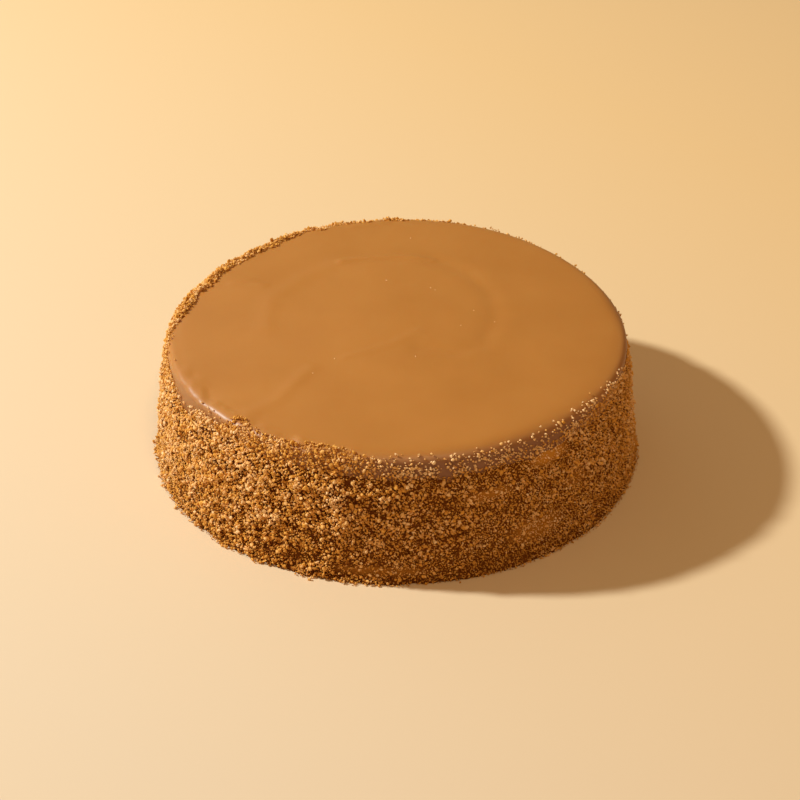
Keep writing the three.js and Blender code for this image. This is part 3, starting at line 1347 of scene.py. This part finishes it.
    def paint(self, piece: Object, tone: Array, shape: Array, corners: Array) -> None:
        """Give each crumb its own bake with its painted shade and light, and its own small square of the
        colour map.

        Args:
            piece: The joined crumbs.
            tone: Bake of each crumb with its painted shade and light, from 0, toasted, to 1, golden.
            shape: Points of one lump.
            corners: Corners of one lump's triangles.
        """
        mark_points(piece, self.finish.attribute, np.repeat(tone, len(shape)))
        across = math.ceil(math.sqrt(len(tone)))
        number = np.arange(len(tone))
        square = np.stack([number % across, number // across], axis=1)
        spot = 0.5 + self.map_share * shape[corners.ravel()][:, :2]
        layer = piece.data.uv_layers.new(name="OFBake")
        layer.data.foreach_set("uv", ((square[:, None] + spot[None]) / across).astype(np.float32).ravel())
        if self.material is None:
            self.material = self.finish.material()
        piece.data.materials.append(self.material)


# Studio


@dataclass(frozen=True)
class PaperFinish:
    """Matt backdrop paper with a painted light gradient: a cooler, slightly darker cream at the front left,
    warmer towards the back right, standing in for how the light changes across the floor.
    """

    cream: str = "#D9C0A2"
    warm: str = "#E7C08A"
    # Painted light: the colour shifts across the floor along this way and span.
    light_shift_way: tuple[float, float, float] = (1.0, 1.0, 0.0)
    light_shift_span: tuple[float, float] = (-320 * MM, 460 * MM)
    roughness: float = 0.9

    def material(self) -> Material:
        """Make the material.

        Returns:
            The finished material.
        """
        made = new_material("backdrop paper, cream")
        tree = made.node_tree
        place = add_node(tree, "ShaderNodeTexCoord", {}).outputs["Object"]
        along = add_node(
            tree, "ShaderNodeVectorMath", {0: place, 1: self.light_shift_way}, operation="DOT_PRODUCT"
        )
        near, far = self.light_shift_span
        share = add_node(
            tree, "ShaderNodeMapRange", {"Value": along.outputs["Value"], "From Min": near, "From Max": far}
        )
        colour = mix_colours(tree, share.outputs[0], linear(self.cream), linear(self.warm))
        add_surface(made, {"Base Color": colour, "Roughness": self.roughness})
        return made


@dataclass(frozen=True)
class Lamp:
    """A round lamp that faces the cake, with its power in watts."""

    name: str
    side: tuple[float, float, float]
    distance: float
    size: float
    power: float
    colour: str

    def hang(self) -> None:
        """Hang the lamp on its side of the cake."""
        lamp = bpy.data.lights.new(self.name, "AREA")
        lamp.shape = "DISK"
        lamp.size = self.size
        lamp.energy = self.power
        lamp.color = linear(self.colour)[:3]
        hung = bpy.data.objects.new(self.name, lamp)
        toward = Vector(self.side).normalized()
        hung.location = toward * self.distance
        hung.rotation_euler = toward.to_track_quat("Z", "Y").to_euler()
        bpy.context.scene.collection.objects.link(hung)


@dataclass
class Studio:
    """Floor, light and camera, with a key lamp at the left, a card at the back and a soft lamp in front."""

    paper: PaperFinish = PaperFinish()
    floor_size: float = 12.0
    lamps: tuple[Lamp, ...] = (
        Lamp("key_lamp", (-0.757, 0.11, 0.645), 2.1, 0.16, 56.0, "#F4FFFF"),
        Lamp("card_lamp", (-0.46, 0.71, 0.53), 1.8, 1.3, 2.0, "#E4F0FF"),
        Lamp("soft_lamp", (0.12, -0.42, 0.87), 1.6, 0.35, 5.6, "#FFE2B8"),
    )
    fill_colour: str = "#FFD498"
    fill_strength: float = 0.26
    camera_place: tuple[float, float, float] = (2.9 * MM, -907.7 * MM, 610.9 * MM)
    camera_down: float = 32.99
    camera_left: float = 0.107
    lens: float = 108.0
    sensor: float = 36.0

    def build(self) -> None:
        """Set up the floor, the light and the camera."""
        self.lay_floor()
        self.light()
        self.place_camera()

    def lay_floor(self) -> None:
        """Lay the paper floor that the cake stands on."""
        bpy.ops.object.select_all(action="DESELECT")
        bpy.ops.mesh.primitive_plane_add(size=self.floor_size)
        floor = bpy.context.object
        floor.name = "paper_floor"
        floor.data.materials.append(self.paper.material())

    def light(self) -> None:
        """Hang the lamps, and fill the shade with warm light from all round."""
        for lamp in self.lamps:
            lamp.hang()
        world = bpy.data.worlds.new("studio")
        world.use_nodes = True
        world.node_tree.nodes.clear()
        sky = add_node(
            world.node_tree,
            "ShaderNodeBackground",
            {"Color": linear(self.fill_colour), "Strength": self.fill_strength},
        )
        add_node(world.node_tree, "ShaderNodeOutputWorld", {"Surface": sky.outputs["Background"]})
        bpy.context.scene.world = world
        bpy.context.scene.view_settings.view_transform = "Standard"

    def place_camera(self) -> None:
        """Put the camera where the photograph was taken from."""
        data = bpy.data.cameras.new("camera")
        data.lens = self.lens
        data.sensor_width = self.sensor
        camera = bpy.data.objects.new("camera", data)
        camera.location = self.camera_place
        tilt = math.radians(90 - self.camera_down)
        camera.rotation_euler = Euler((tilt, 0, math.radians(self.camera_left)))
        bpy.context.scene.collection.objects.link(camera)
        bpy.context.scene.camera = camera


def main() -> None:
    """Build the cake and its studio, and report each piece."""
    logging.basicConfig(level=logging.INFO, format="%(name)s: %(message)s")
    form = CakeForm()
    rule = CrumbRule()
    icing = Icing(form)
    icing.build()
    pressed = PressedCoat(form, rule)
    pressed.build()
    coat = CrumbCoat(form, rule, pressed, icing)
    for batch in coat.batches:
        coat.build(batch)
    coat.sprinkle()
    Studio().build()


if __name__ == "__main__":
    main()
